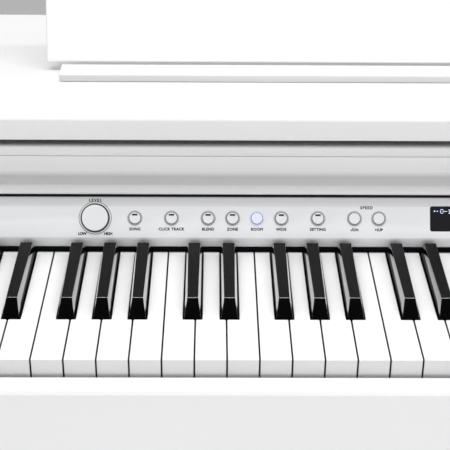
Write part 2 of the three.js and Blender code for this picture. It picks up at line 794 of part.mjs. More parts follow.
// Pedal rail: a channel that is open at the back, with a slot for each pedal.
const pedalRailBack = rearFace - backBoardSetback;
const pedalRailFront = pedalRailBack - pedalRailDepth;
const pedalRailOutline = outline([
  [pedalRailBack, pedalRailBottom],
  [pedalRailBack, pedalRailBottom + pedalRailWall],
  [pedalRailFront + pedalRailWall, pedalRailBottom + pedalRailWall],
  [pedalRailFront + pedalRailWall, railTopZ - pedalRailWall],
  [pedalRailBack, railTopZ - pedalRailWall],
  [pedalRailBack, railTopZ],
  [pedalRailFront, railTopZ, 4],
  [pedalRailFront, pedalRailBottom, 4],
]);
const pedalNames = ["left_pedal", "middle_pedal", "right_pedal"];
const pedalX = (place) => (place - 1) * pedalPitch;
const slotDrop = pedalArm * Math.sin(rad(pedalDip));
const pedalSlot = (_, place) =>
  block(
    [pedalX(place) - pedalNeck / 2 - pedalGap, pedalX(place) + pedalNeck / 2 + pedalGap],
    [pedalRailFront - 1, pedalRailFront + pedalRailWall + 1],
    [pedalHeight - pedalThickness / 2 - slotDrop - pedalGap, pedalHeight + pedalThickness / 2 + pedalGap],
  );
const pedalRail = cut(alongX(pedalRailOutline, -fittedHalf, fittedHalf), ...pedalNames.map(pedalSlot));
piece(stand, "pedal_rail", pedalRail, lacquer);

const adjusterY = pedalRailFront + pedalRailDepth / 2;
const adjuster = disc(adjusterDiameter, 0, pedalRailBottom - joinGap, 20, 0, adjusterY);
piece(stand, "pedal_adjuster", adjuster, blackPlastic);

// Pedal: a rounded tongue in front of the rail, a narrower neck through the slot, and a tail on the pivot.
const pedalTip = pedalRailFront - pedalReach;
const pedalTail = pedalRailFront + pedalArm + 6;
for (const [place, name] of pedalNames.entries()) {
  const neckStart = pedalRailFront - 8;
  const shape = outline([
    [-pedalWidth / 2, pedalTip, pedalWidth / 2 - 0.5],
    [pedalWidth / 2, pedalTip, pedalWidth / 2 - 0.5],
    [pedalWidth / 2 - 1, neckStart - 24],
    [pedalNeck / 2, neckStart],
    [pedalNeck / 2, pedalTail],
    [-pedalNeck / 2, pedalTail],
    [-pedalNeck / 2, neckStart],
    [1 - pedalWidth / 2, neckStart - 24],
  ]);
  const pedal = alongZ(shape, pedalHeight - pedalThickness / 2, pedalHeight + pedalThickness / 2);
  piece(stand, name, pedal.translate(pedalX(place), 0, 0), brass);
}

// ---------------------------------------------------------------- electronics and speakers
const speakerSeat = keybedSeat;
const speakerProfile = [
  [0, speakerHeight],
  [26, speakerHeight],
  [28, speakerHeight - 16],
  [speakerDiameter / 2 - 12, speakerFlange + 6],
  [speakerDiameter / 2 - 10, speakerFlange],
  [speakerDiameter / 2, speakerFlange],
  [speakerDiameter / 2, 0],
  [speakerHole / 2 - 3, 0],
  [16, 24],
  [0, 20],
].map(([r, h]) => new THREE.Vector2(r, h));
for (const [name, side] of bothSides) {
  const speaker = new THREE.LatheGeometry(speakerProfile.toReversed(), 24).rotateX(Math.PI / 2);
  piece(keyboard, `${name}_speaker`, speaker.translate(side * speakerX, speakerY, speakerSeat), blackPlastic);
}

const boardZ = keybedSeat + standoff;
const boardSpanY = [speakerY - mainBoardDepth / 2, speakerY + mainBoardDepth / 2];
const boardPosts = [-1, 1].flatMap((side) =>
  boardSpanY.map((y, end) =>
    disc(6, keybedSeat, boardZ + 0.5, 8, side * (mainBoardWidth / 2 - 8), y + (end ? -8 : 8)),
  ),
);
const mainBoard = join(
  block([-mainBoardWidth / 2, mainBoardWidth / 2], boardSpanY, [boardZ, boardZ + boardThickness]),
  block([-20, 20], [speakerY - 20, speakerY + 20], [boardZ + 1, boardZ + 5]),
  block([60, 120], [speakerY - 24, speakerY - 4], [boardZ + 1, boardZ + 22]),
  block([-130, -100], [speakerY - 20, speakerY + 20], [boardZ + 1, boardZ + 13]),
  ...boardPosts,
);
piece(keyboard, "main_board", mainBoard, circuitGreen);

const boxTop = keybedBottom - joinGap;
const headphoneBody = block(
  [headphoneX - headphoneSize[0] / 2, headphoneX + headphoneSize[0] / 2],
  [keybedFront + 6, keybedFront + 6 + headphoneSize[1]],
  [boxTop - headphoneSize[2], boxTop],
);
const headphoneHoles = [-15, 15].map((x) =>
  rodAlongY(headphoneHole, headphoneX + x, boxTop - headphoneSize[2] / 2, keybedFront, keybedFront + 38),
);
piece(keyboard, "headphone_box", cut(headphoneBody, ...headphoneHoles), blackPlastic);

export default piano;
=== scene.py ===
"""Looks of a white console digital piano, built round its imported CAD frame. Metres, +Z up, the player at -Y."""
import json
import math

import bmesh
import bpy
from mathutils import Matrix, Vector


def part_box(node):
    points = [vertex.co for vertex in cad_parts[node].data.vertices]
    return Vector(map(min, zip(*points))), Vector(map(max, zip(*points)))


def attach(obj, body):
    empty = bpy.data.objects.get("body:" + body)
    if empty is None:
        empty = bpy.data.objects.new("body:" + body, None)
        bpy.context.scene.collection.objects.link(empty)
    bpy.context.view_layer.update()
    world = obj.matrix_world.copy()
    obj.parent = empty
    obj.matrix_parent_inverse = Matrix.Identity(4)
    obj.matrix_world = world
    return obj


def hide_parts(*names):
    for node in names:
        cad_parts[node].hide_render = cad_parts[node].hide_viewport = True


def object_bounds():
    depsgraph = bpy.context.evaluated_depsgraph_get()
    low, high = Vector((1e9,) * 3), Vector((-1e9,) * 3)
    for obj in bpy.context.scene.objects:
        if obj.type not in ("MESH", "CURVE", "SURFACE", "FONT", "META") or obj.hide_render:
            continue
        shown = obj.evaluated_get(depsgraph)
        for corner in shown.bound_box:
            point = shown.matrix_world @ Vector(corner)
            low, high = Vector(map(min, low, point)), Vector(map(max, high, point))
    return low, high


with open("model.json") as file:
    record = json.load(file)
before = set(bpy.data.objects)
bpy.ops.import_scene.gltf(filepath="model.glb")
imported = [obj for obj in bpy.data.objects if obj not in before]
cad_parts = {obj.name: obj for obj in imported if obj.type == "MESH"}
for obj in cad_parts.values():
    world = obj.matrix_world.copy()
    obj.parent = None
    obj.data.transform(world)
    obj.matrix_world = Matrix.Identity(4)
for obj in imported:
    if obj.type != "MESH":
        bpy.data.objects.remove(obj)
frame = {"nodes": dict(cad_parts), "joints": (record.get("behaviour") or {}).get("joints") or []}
cad_low, cad_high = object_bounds()
MM = 0.001

# ---------------------------------------------------------------- places taken from the frame
nodes = frame["nodes"]
joints = {j["name"]: j for j in frame["joints"]}
KEYS_LOW, KEYS_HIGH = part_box("white_key_set")
FELT_LOW, FELT_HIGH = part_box("key_felt")
KEY_FRONT = KEYS_LOW.y
KEY_TOP = KEYS_HIGH.z
HALF_KEYBOARD = FELT_HIGH.x
WHITE_COUNT = 52
PITCH = 2 * HALF_KEYBOARD / WHITE_COUNT


def at_keys(x, y, z):
    """A point in millimetres from the front edge of the white key tops, at the middle of the keyboard."""
    return Vector((x * MM, KEY_FRONT + y * MM, KEY_TOP + z * MM))


# ---------------------------------------------------------------- camera
FOCAL = 95.76
CAMERA_AT = at_keys(-197.7, -697, 505)
PITCH_DOWN, YAW_RIGHT, ROLL = (math.radians(a) for a in (29.5, 0.608, 0.463))


def make_camera():
    data = bpy.data.cameras.new("camera")
    data.lens = FOCAL
    data.sensor_width = 36
    data.clip_start, data.clip_end = 0.05, 60
    camera = bpy.data.objects.new("camera", data)
    bpy.context.scene.collection.objects.link(camera)
    ahead = Vector((math.sin(YAW_RIGHT) * math.cos(PITCH_DOWN),
                    math.cos(YAW_RIGHT) * math.cos(PITCH_DOWN), -math.sin(PITCH_DOWN)))
    right = ahead.cross(Vector((0, 0, 1))).normalized()
    up = right.cross(ahead)
    rolled_right = right * math.cos(ROLL) + up * math.sin(ROLL)
    rolled_up = up * math.cos(ROLL) - right * math.sin(ROLL)
    turn = Matrix((rolled_right, rolled_up, -ahead)).transposed().to_4x4()
    camera.matrix_world = Matrix.Translation(CAMERA_AT) @ turn
    bpy.context.scene.camera = camera


make_camera()

# ---------------------------------------------------------------- materials
materials = {}
COAT_ROUGHNESS = 0.05
RELIEF_DEPTH = 0.0002


def surface(name, colour, roughness, *, metallic=0.0, specular=0.5, coat=0.0, coat_index=1.5, vary=0.03,
            vary_scale=6.0, rough_vary=0.04, bump=0.02, bump_scale=900.0, stretch=(1, 1, 1)):
    """A Principled material with slow colour change, uneven gloss and a fine surface from noise."""
    made = bpy.data.materials.new(name)
    made.use_nodes = True
    tree = made.node_tree
    shader = tree.nodes["Principled BSDF"]
    shader.inputs["Metallic"].default_value = metallic
    shader.inputs["Specular IOR Level"].default_value = specular
    shader.inputs["Coat Weight"].default_value = coat
    shader.inputs["Coat Roughness"].default_value = COAT_ROUGHNESS
    shader.inputs["Coat IOR"].default_value = coat_index
    place = tree.nodes.new("ShaderNodeTexCoord")
    mapping = tree.nodes.new("ShaderNodeMapping")
    mapping.inputs["Scale"].default_value = stretch
    tree.links.new(place.outputs["Object"], mapping.inputs["Vector"])

    def noise(scale, detail=3.0):
        node = tree.nodes.new("ShaderNodeTexNoise")
        node.inputs["Scale"].default_value = scale
        node.inputs["Detail"].default_value = detail
        tree.links.new(mapping.outputs["Vector"], node.inputs["Vector"])
        return node.outputs["Fac"]

    ramp = tree.nodes.new("ShaderNodeValToRGB")
    for stop, share in zip(ramp.color_ramp.elements, (1 - vary, 1 + vary)):
        stop.color = (*(min(1.0, c * share) for c in colour), 1)
    ramp.color_ramp.elements[0].position, ramp.color_ramp.elements[1].position = 0.3, 0.7
    tree.links.new(noise(vary_scale), ramp.inputs["Fac"])
    tree.links.new(ramp.outputs["Color"], shader.inputs["Base Color"])
    gloss = tree.nodes.new("ShaderNodeMapRange")
    gloss.inputs["To Min"].default_value = max(0.0, roughness - rough_vary)
    gloss.inputs["To Max"].default_value = min(1.0, roughness + rough_vary)
    tree.links.new(noise(vary_scale * 7), gloss.inputs["Value"])
    tree.links.new(gloss.outputs["Result"], shader.inputs["Roughness"])
    if bump:
        relief = tree.nodes.new("ShaderNodeBump")
        relief.inputs["Strength"].default_value = bump
        relief.inputs["Distance"].default_value = RELIEF_DEPTH
        tree.links.new(noise(bump_scale, 2.0), relief.inputs["Height"])
        tree.links.new(relief.outputs["Normal"], shader.inputs["Normal"])
    materials[name] = made
    return made


def shaded_band(name, node, low, high, share, fade_low, fade_high):
    """Paints shade into a material: darkens it between two world heights of a node, to a share of its colour and
    with soft ends.
    """
    tree = materials[name].node_tree
    shader = tree.nodes["Principled BSDF"]
    colour = shader.inputs["Base Color"].links[0].from_socket
    split = tree.nodes.new("ShaderNodeSeparateXYZ")
    tree.links.new(tree.nodes["Texture Coordinate"].outputs["Object"], split.inputs["Vector"])
    into = node.matrix_world.inverted()
    low, high = ((into @ Vector((0, 0, z))).z for z in (low, high))

    def ramp(start, end, first, last):
        fade = tree.nodes.new("ShaderNodeMapRange")
        fade.interpolation_type = "SMOOTHSTEP"
        for socket, value in (("From Min", start), ("From Max", end), ("To Min", first), ("To Max", last)):
            fade.inputs[socket].default_value = value
        tree.links.new(split.outputs["Z"], fade.inputs["Value"])
        return fade.outputs["Result"]

    rise = ramp(low - fade_low, low, 0, 1)
    fall = ramp(high, high + fade_high, 1, 0)
    both = tree.nodes.new("ShaderNodeMath")
    both.operation = "MULTIPLY"
    tree.links.new(rise, both.inputs[0])
    tree.links.new(fall, both.inputs[1])
    mix = tree.nodes.new("ShaderNodeMix")
    mix.data_type, mix.blend_type = "RGBA", "MULTIPLY"
    tree.links.new(both.outputs[0], mix.inputs["Factor"])
    tree.links.new(colour, mix.inputs["A"])
    mix.inputs["B"].default_value = (share, share, share, 1)
    tree.links.new(mix.outputs["Result"], shader.inputs["Base Color"])


def glowing(name, colour, strength):
    """Adds light to a material."""
    shader = materials[name].node_tree.nodes["Principled BSDF"]
    shader.inputs["Emission Color"].default_value = (*colour, 1)
    shader.inputs["Emission Strength"].default_value = strength


surface("lacquer", (0.935, 0.935, 0.94), 0.16, coat=0.35, vary=0.008, bump=0.05, bump_scale=260)
surface("melamine", (0.74, 0.74, 0.745), 0.55, vary=0.02, bump=0.25, bump_scale=1400)
surface("ledge_white", (0.91, 0.91, 0.918), 0.30, vary=0.008, bump=0.05, bump_scale=500)
surface("cover_face", (0.91, 0.91, 0.918), 0.30, vary=0.008, bump=0.05, bump_scale=500)
surface("panel", (0.825, 0.83, 0.845), 0.30, vary=0.008, bump=0.12, bump_scale=2600)
surface("white_key", (0.945, 0.945, 0.94), 0.13, vary=0.006, vary_scale=9, rough_vary=0.03, bump=0.02)
# Painted shade: a grey copy of the white for the key fronts, and near black for the key sides, which stand for the
# dark gaps between keys.
surface("shaded_key_front", (0.79, 0.79, 0.79), 0.2, vary=0.01, bump=0.02)
surface("shaded_key_side", (0.035, 0.035, 0.035), 0.5, vary=0.1, bump=0.1)
surface("black_key_top", (0.004, 0.004, 0.0045), 0.42, specular=0.11, vary=0.2, vary_scale=60,
        bump=0.5, bump_scale=2400, stretch=(1, 0.25, 1))
# Painted shade: a darker, duller copy of the black keys' black, for their front slopes, rears, bottoms and lower
# sides.
surface("shaded_black_key", (0.0015, 0.0015, 0.0017), 0.3, specular=0.03, vary=0.2, bump=0.1)
surface("black_key_side", (0.003, 0.003, 0.0034), 0.09, specular=1.0, coat=1.0, coat_index=1.9, vary=0.1, bump=0.02)
surface("button", (0.84, 0.845, 0.855), 0.32, vary=0.01, bump=0.05, bump_scale=1800)
surface("button_ring", (0.44, 0.445, 0.46), 0.28, vary=0.02, bump=0.03, bump_scale=1800)
surface("lit_button", (0.80, 0.83, 0.95), 0.3, vary=0.01, bump=0.03)
glowing("lit_button", (0.85, 0.85, 1.0), 0.06)
surface("lit_ring", (0.5, 0.52, 0.7), 0.3, vary=0.02, bump=0.03)
glowing("lit_ring", (0.68, 0.7, 1.0), 0.3)
# Painted shade: the grey of the strip that darkens the gap under the lid.
surface("grey_felt", (0.28, 0.28, 0.285), 0.95, specular=0.05, vary=0.2, vary_scale=900, bump=1.0, bump_scale=5200)
surface("dark_grey", (0.09, 0.09, 0.095), 0.35, vary=0.05, bump=0.1)
surface("felt", (0.0035, 0.0035, 0.004), 0.95, specular=0.05, vary=0.4, vary_scale=900, bump=1.0, bump_scale=5200)
surface("glass_black", (0.004, 0.004, 0.006), 0.04, vary=0.1, rough_vary=0.02, bump=0.0)
surface("print", (0.004, 0.004, 0.0045), 0.5, specular=0.2, vary=0.2, vary_scale=800, bump=0.2, bump_scale=4000)
surface("pixel", (0.35, 0.4, 0.6), 0.4, vary=0.05, bump=0)
glowing("pixel", (0.62, 0.72, 1.0), 1.6)
surface("steel", (0.60, 0.61, 0.63), 0.30, metallic=1, vary=0.05, bump=0.15, bump_scale=1500, stretch=(0.05, 1, 1))
surface("screw", (0.42, 0.43, 0.45), 0.34, metallic=1, vary=0.06, vary_scale=300, bump=0.1)
surface("brass", (0.82, 0.62, 0.28), 0.16, metallic=1, vary=0.06, vary_scale=30, rough_vary=0.06, bump=0.03)
surface("black_plastic", (0.022, 0.022, 0.024), 0.5, vary=0.12, vary_scale=60, bump=0.5, bump_scale=2600)
surface("cone", (0.018, 0.018, 0.019), 0.8, specular=0.25, vary=0.25, vary_scale=240, bump=0.6, bump_scale=1400)
surface("acetal", (0.66, 0.66, 0.67), 0.42, vary=0.03, bump=0.1)
surface("circuit", (0.03, 0.16, 0.08), 0.45, vary=0.2, vary_scale=90, bump=0.4, bump_scale=700)


# ---------------------------------------------------------------- mesh helpers
def new_object(name, bm, material, body, smooth=True):
    """Turns a bmesh into a piece that rides on a CAD body."""
    mesh = bpy.data.meshes.new(name)
    bmesh.ops.recalc_face_normals(bm, faces=bm.faces)
    bm.to_mesh(mesh)
    bm.free()
    for polygon in mesh.polygons:
        polygon.use_smooth = smooth
    piece = bpy.data.objects.new(name, mesh)
    bpy.context.scene.collection.objects.link(piece)
    for m in material if isinstance(material, (list, tuple)) else [material]:
        mesh.materials.append(materials[m])
    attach(piece, body)
    return piece


def soften(piece, width, segments=2, angle=30):
    """Rounds the edges sharper than an angle, and keeps the flats flat."""
    bevel = piece.modifiers.new("edges", "BEVEL")
    bevel.width = width
    bevel.segments = segments
    bevel.limit_method = "ANGLE"
    bevel.angle_limit = math.radians(angle)
    bevel.harden_normals = True
    bevel.miter_outer = "MITER_ARC"
    return piece


def prism(bm, outline, place, low, high, material_index=0):
    """Extrudes a 2-D outline from low to high; place turns (u, v, height) into a point."""
    bottom = [bm.verts.new(place(u, v, low)) for u, v in outline]
    top = [bm.verts.new(place(u, v, high)) for u, v in outline]
    faces = [bm.faces.new(bottom[::-1]), bm.faces.new(top)]
    for i in range(len(outline)):
        j = (i + 1) % len(outline)
        faces.append(bm.faces.new((bottom[i], bottom[j], top[j], top[i])))
    for face in faces:
        face.material_index = material_index
    return faces


def rounded_rectangle(half_u, half_v, radius, steps=6, centre=(0, 0)):
    points = []
    for quarter, (su, sv) in enumerate(((1, 1), (-1, 1), (-1, -1), (1, -1))):
        for k in range(steps + 1):
            a = math.pi / 2 * (quarter + k / steps)
            points.append((centre[0] + su * (half_u - radius) + radius * math.cos(a),
                           centre[1] + sv * (half_v - radius) + radius * math.sin(a)))
    return points


def lathe(bm, profile, place, sides=48, material_index=0):
    """Turns a profile of (radius, height) about the axis that place(x, y, height) stands on."""
    rings = []
    for radius, height in profile:
        if radius == 0:
            rings.append([bm.verts.new(place(0, 0, height))])
            continue
        rings.append([bm.verts.new(place(radius * math.cos(2 * math.pi * k / sides),
                                         radius * math.sin(2 * math.pi * k / sides), height))
                      for k in range(sides)])
    for a, b in zip(rings, rings[1:]):
        for k in range(sides):
            j = (k + 1) % sides
            corners = [a[k % len(a)], a[j % len(a)], b[j % len(b)], b[k % len(b)]]
            unique = [v for i, v in enumerate(corners) if v not in corners[:i]]
            if len(unique) > 2:
                bm.faces.new(unique).material_index = material_index


def arc(centre, radius, start, end, steps):
    """Points (u, v) of an arc, with angles in degrees."""
    span = [math.radians(start + (end - start) * k / steps) for k in range(steps + 1)]
    return [(centre[0] + radius * math.cos(a), centre[1] + radius * math.sin(a)) for a in span]


# ---------------------------------------------------------------- CAD nodes that keep their shape
def dress(name, material, edge=0.0008, segments=2, angle=30):
    """Gives a CAD node its material and rounded edges."""
    node = nodes[name]
    node.data.materials.clear()
    node.data.materials.append(materials[material])
    for polygon in node.data.polygons:
        polygon.use_smooth = True
        polygon.material_index = 0
    weld = node.modifiers.new("weld", "WELD")
    weld.merge_threshold = 2e-6
    flats = node.modifiers.new("flats", "DECIMATE")
    flats.decimate_type = "DISSOLVE"
    flats.angle_limit = math.radians(1.0)
    soften(node, edge, segments, angle)
    return node


for name in ("left_side_panel", "right_side_panel", "left_foot", "right_foot", "music_rest"):
    dress(name, "lacquer", 0.0015, 3)
dress("lid", "lacquer", 0.0004)
dress("music_ledge", "ledge_white", 0.0006)
ledge_low, ledge_high = (corner.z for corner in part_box("music_ledge"))
# Painted shade: the ledge darkened to 80 % below its top edge, on its front and sides.
shaded_band("ledge_white", nodes["music_ledge"], ledge_low, ledge_high - 0.0009, 0.80, 0.0001, 0.0004)
for name in ("back_board", "keybed", "key_slip", "left_key_block", "right_key_block", "pedal_rail", "key_cover"):
    dress(name, "lacquer", 0.001)
dress("cover_rail", "cover_face", 0.0003, angle=40)
rail_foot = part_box("cover_rail")[0].z
# Painted shade in the cove of the cover's rail, under the lid's overhang: darkened to 70 %.
shaded_band("cover_face", nodes["cover_rail"], rail_foot + 0.0058, rail_foot + 0.012, 0.70, 0.0008, 0.0075)
dress("rear_panel", "melamine", 0.0005)
dress("control_panel", "panel", 0.00025, angle=50)
dress("key_frame", "steel", 0.0004)
dress("left_cover_guide", "acetal", 0.0003)
dress("right_cover_guide", "acetal", 0.0003)
dress("headphone_box", "black_plastic", 0.0008)
dress("rear_jack_plate", "black_plastic", 0.0004)
dress("main_board", "circuit", 0.0002)
dress("panel_board", "circuit", 0.0002)

# ---------------------------------------------------------------- keys
SHARP_OFFSETS = (-2.1, 2.3, None, -3.35, 0, 3.4, None)  # millimetres from the right seams of C, D, E, F, G, A, B
LETTERS = "cdefgab"
FIRST_LETTER = 5
SOLO = range(16, 23)  # the white keys from C3 to B3, which have joints of their own
KEY_GAP = 1.12
WHITE_CORNER = 0.7
NOTCH_START, NOTCH_WIDTH, NOTCH_CORNER = 51.4, 14.9, 1.1
WHITE_LENGTH = (KEYS_HIGH.y - KEYS_LOW.y) / MM
WHITE_DEPTH = (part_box("key_c3")[1].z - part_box("key_c3")[0].z) / MM
BLACK_HEIGHT = (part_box("black_key_set")[1].z - KEY_TOP) / MM
BLACK_START, BLACK_END, BLACK_WIDTH = 52.4, 146.0, 12.8
pitch_mm = PITCH / MM


def seam(index):
    """Place across, in millimetres, of the middle of the gap at the left of a white key."""
    return (index - WHITE_COUNT / 2) * pitch_mm


def letter(index):
    return (index + FIRST_LETTER) % 7


def sharp_x(index):
    """Place across of the black key at the right of a white key, or None."""
    offset = SHARP_OFFSETS[letter(index)]
    return None if offset is None or not 0 <= index < WHITE_COUNT - 1 else seam(index + 1) + offset


def white_key(index):
    """One white key: a cap with rounded corners, with painted shade on its front (a grey copy of the white) and on
    its sides (near black).
    """
    left, right = seam(index) + KEY_GAP / 2, seam(index + 1) - KEY_GAP / 2
    left_sharp, right_sharp = sharp_x(index - 1) if index else None, sharp_x(index)
    corner, inner = WHITE_CORNER, NOTCH_CORNER
    outline = arc((left + corner, corner), corner, 180, 270, 3) + arc((right - corner, corner), corner, 270, 360, 3)
    if right_sharp is not None:
        tail = right_sharp - NOTCH_WIDTH / 2
        outline += arc((right - inner, NOTCH_START - inner), inner, 0, 90, 4)
        outline += [(tail, NOTCH_START), (tail, WHITE_LENGTH)]
    else:
        outline += [(right, WHITE_LENGTH)]
    if left_sharp is not None:
        tail = left_sharp + NOTCH_WIDTH / 2
        outline += [(tail, WHITE_LENGTH), (tail, NOTCH_START)]
        outline += arc((left + inner, NOTCH_START - inner), inner, 90, 180, 4)
    else:
        outline += [(left, WHITE_LENGTH)]
    bm = bmesh.new()
    for face in prism(bm, outline, at_keys, -WHITE_DEPTH, 0)[2:]:
        middle = face.calc_center_median()
        # Painted shade: front faces take the grey front material, side faces the near-black side material.
        face.material_index = 1 if middle.y < KEY_FRONT + 1 * MM else 2
    body = f"key_{LETTERS[letter(index)]}3" if index in SOLO else "white_key_set"
    piece = new_object(f"white_key_{index + 1:02d}", bm, ["white_key", "shaded_key_front", "shaded_key_side"], body)
    soften(piece, 0.0006, 3, 50).modifiers["edges"].material = 0
    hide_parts(body)


# The third finish is painted shade: a darker, duller black on the front slope, the rear, the bottom and the lower
# sides.
SIDE, TOP, SHADED = range(3)  # finishes of a black key


def black_key(index):
    """One black key: matte top, sides polished in their upper part, and painted shade in a darker, duller black on
    the front slope and the lower sides.
    """
    x = sharp_x(index)
    half = BLACK_WIDTH / 2
    front, rear, top = BLACK_START, BLACK_END, BLACK_HEIGHT
    bm = bmesh.new()

    def row(y, z, width):
        return [bm.verts.new(at_keys(x + side * width, y, z)) for side in (-1, 1)]

    base_front, base_rear = row(front + 1, 3 - WHITE_DEPTH, half), row(rear, 3 - WHITE_DEPTH, half)
    foot_front, foot_rear = row(front + 0.4, 0.4, half - 0.15), row(rear, 0, half)
    waist_front, waist_rear = row(front + 14, 5.2, half - 0.5), row(rear - 0.5, 8, half - 0.35)
    brow = row(front + 10.4, top - 0.28, 4.1)
    top_front, top_rear = row(front + 10.9, top, 4.05), row(rear - 1, top, 4.85)
    outline = [(base_front, SHADED), (foot_front, SHADED), (brow, SIDE), (top_front, TOP), (top_rear, SHADED),
               (waist_rear, SHADED), (foot_rear, SHADED), (base_rear, SHADED)]
    for (a, finish), (b, _) in zip(outline, outline[1:] + outline[:1]):
        bm.faces.new((a[0], a[1], b[1], b[0])).material_index = finish
    flanks = [((foot_front, waist_front, brow), SIDE), ((brow, waist_front, top_front), SIDE),
              ((top_front, waist_front, waist_rear, top_rear), SIDE),
              ((foot_front, foot_rear, waist_rear, waist_front), SHADED),
              ((base_front, base_rear, foot_rear, foot_front), SHADED)]
    for side in (0, 1):
        for corners, finish in flanks:
            bm.faces.new([pair[side] for pair in corners]).material_index = finish
    solo = SOLO.start <= index < SOLO.stop - 1
    body = f"key_{LETTERS[letter(index)]}_sharp3" if solo else "black_key_set"
    piece = new_object(f"black_key_{index + 1:02d}", bm, ["black_key_side", "black_key_top", "shaded_black_key"],
                       body)
    soften(piece, 0.0003, 2, 20)
    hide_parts(body)


for index in range(WHITE_COUNT):
    white_key(index)
for index in range(WHITE_COUNT - 1):
    if sharp_x(index) is not None:
        black_key(index)

# ---------------------------------------------------------------- felt, and strips of painted shade
def felt_strip():
    """Black felt behind the keys."""
    bm = bmesh.new()
    low, high = FELT_LOW, FELT_HIGH
    half_y, half_z = (high.y - low.y) / 2, (high.z - low.z) / 2
    outline = rounded_rectangle(half_y, half_z, 0.0008, 3, ((low.y + high.y) / 2, (low.z + high.z) / 2))
    prism(bm, outline, lambda y, z, x: Vector((x, y, z)), low.x, high.x)
    piece = new_object("felt_strip", bm, "felt", "cabinet")
    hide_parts("key_felt")


def panel_gap_shade():
    """A black strip behind the panel's top edge, under the sliding cover: painted shade in the gap between the cover
    and the panel.
    """
    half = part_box("control_panel")[1].x - 0.002
    bm = bmesh.new()
    outline = rounded_rectangle(4.2, 1.0, 0.5, 3, (173.8, 40.6))
    prism(bm, outline, lambda y, z, x: Vector((x, 0, 0)) + at_keys(0, y, z), -half, half)
    new_object("panel_gap_shade", bm, "black_plastic", "cabinet")


def rail_shade_strip():
    """A grey strip on top of the cover's rail, under the lid: painted shade in the gap below the lid."""
    low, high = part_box("cover_rail")
    bm = bmesh.new()
    outline = rounded_rectangle(0.0042, 0.0008, 0.0005, 3, (high.y - 0.0055, high.z + 0.0004))
    prism(bm, outline, lambda y, z, x: Vector((x, y, z)), low.x + 0.002, high.x - 0.002)
    new_object("rail_shade_strip", bm, "grey_felt", "key_cover")


felt_strip()
panel_gap_shade()
rail_shade_strip()

# ---------------------------------------------------------------- control panel
OUT = Vector(joints["volume_knob_turn"]["axis"]).normalized()
UP = Vector((1, 0, 0)).cross(OUT) * -1
FACE_FOOT = at_keys(0, 151.5, 13)
CONTROL_LINE = 15.9


def on_panel(x, up, out=0.0):
    """A point in millimetres on the sloping face: across, up the slope and out of it."""
    return FACE_FOOT + Vector((x * MM, 0, 0)) + UP * (up * MM) + OUT * (out * MM)


def middle_x(name):
    """Place across of a CAD node's middle, in millimetres."""
    low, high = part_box(name)
    return (low.x + high.x) / 2 / MM


def around(x, up=CONTROL_LINE):
    """Place function for something round that stands on the panel; millimetres."""
    return lambda u, v, height: on_panel(x + u, up + v, height)


# Painted shadow of the lid and rail: the panel's face is darkened to 90 % above this distance up its slope.
PANEL_SHADE_EDGE = 26.1
ABOVE_ALL = cad_high.z
shaded_band("panel", nodes["control_panel"], on_panel(0, PANEL_SHADE_EDGE).z, ABOVE_ALL, 0.90, 0.0006, 0.1)


PANEL_BUTTONS = ["demo_button", "metronome_button", "layer_button", "split_button", "reverb_button",
                 "chorus_button", "function_button", "minus_button", "plus_button", "voice_down_button",
                 "voice_up_button", "power_button"]
PLAIN_BUTTONS = ("reverb_button", "minus_button", "plus_button", "voice_down_button", "voice_up_button")
BUTTON_RADIUS, BUTTON_PROUD, BUTTON_BACK, BUTTON_EDGE = 4.6, 1.6, -5.0, 0.6
RING_RADIUS = 6.2
LAMP_RISE = 2.7


def ring(name, x, inner, outer, low, high, edge, material, slot, up=CONTROL_LINE):
    """A flat ring on the panel's face with rounded top edges; millimetres."""
    profile = [(inner, low)] + [(inner + edge - u, high - edge + v) for u, v in arc((0, 0), edge, 0, 90, 3)]
    profile += [(outer - edge + u, high - edge + v) for u, v in arc((0, 0), edge, 90, 0, 3)]
    bm = bmesh.new()
    lathe(bm, profile + [(outer, low), (inner, low)], around(x, up), 96)
    return new_object(name, bm, material, "cabinet")


def button(name):
    """A round cap with a shallow dish, in a dark well with a grey ring, and a short lamp on most."""
    x = middle_x(name)
    lit = name == "reverb_button"
    edge = BUTTON_EDGE
    profile = [(0, BUTTON_BACK), (BUTTON_RADIUS, BUTTON_BACK)]
    profile += [(BUTTON_RADIUS - edge + u, BUTTON_PROUD - edge + v) for u, v in arc((0, 0), edge, 0, 90, 5)]
    profile += [(3.0, BUTTON_PROUD - 0.12), (1.5, BUTTON_PROUD - 0.2), (0, BUTTON_PROUD - 0.22)]
    bm = bmesh.new()
    lathe(bm, profile, around(x))
    cap = new_object(f"{name}_cap", bm, "lit_button" if lit else "button", name)
    soften(cap, 0.0001, 2, 50)
    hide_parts(name)
    ring(f"{name}_well", x, 4.4, 5.05, -0.3, 0.03, 0.01, "black_plastic", "black_plastic")
    ring(f"{name}_ring", x, 4.98, RING_RADIUS, -0.3, 0.35, 0.16, "lit_ring" if lit else "button_ring",
         "lit_button" if lit else "button_plastic")
    if name in PLAIN_BUTTONS:
        return
    dash = bmesh.new()
    prism(dash, rounded_rectangle(2.25, 0.66, 0.3, 3), around(x, CONTROL_LINE + LAMP_RISE),
          BUTTON_PROUD - 0.3, BUTTON_PROUD + 0.03)
    new_object(f"{name}_lamp", dash, "print", name)


for name in PANEL_BUTTONS:
    button(name)

KNOB_RADIUS, KNOB_PROUD, KNOB_EDGE = 11.25, 3.0, 0.45
BEZEL_INNER, BEZEL_OUTER = 11.9, 13.0


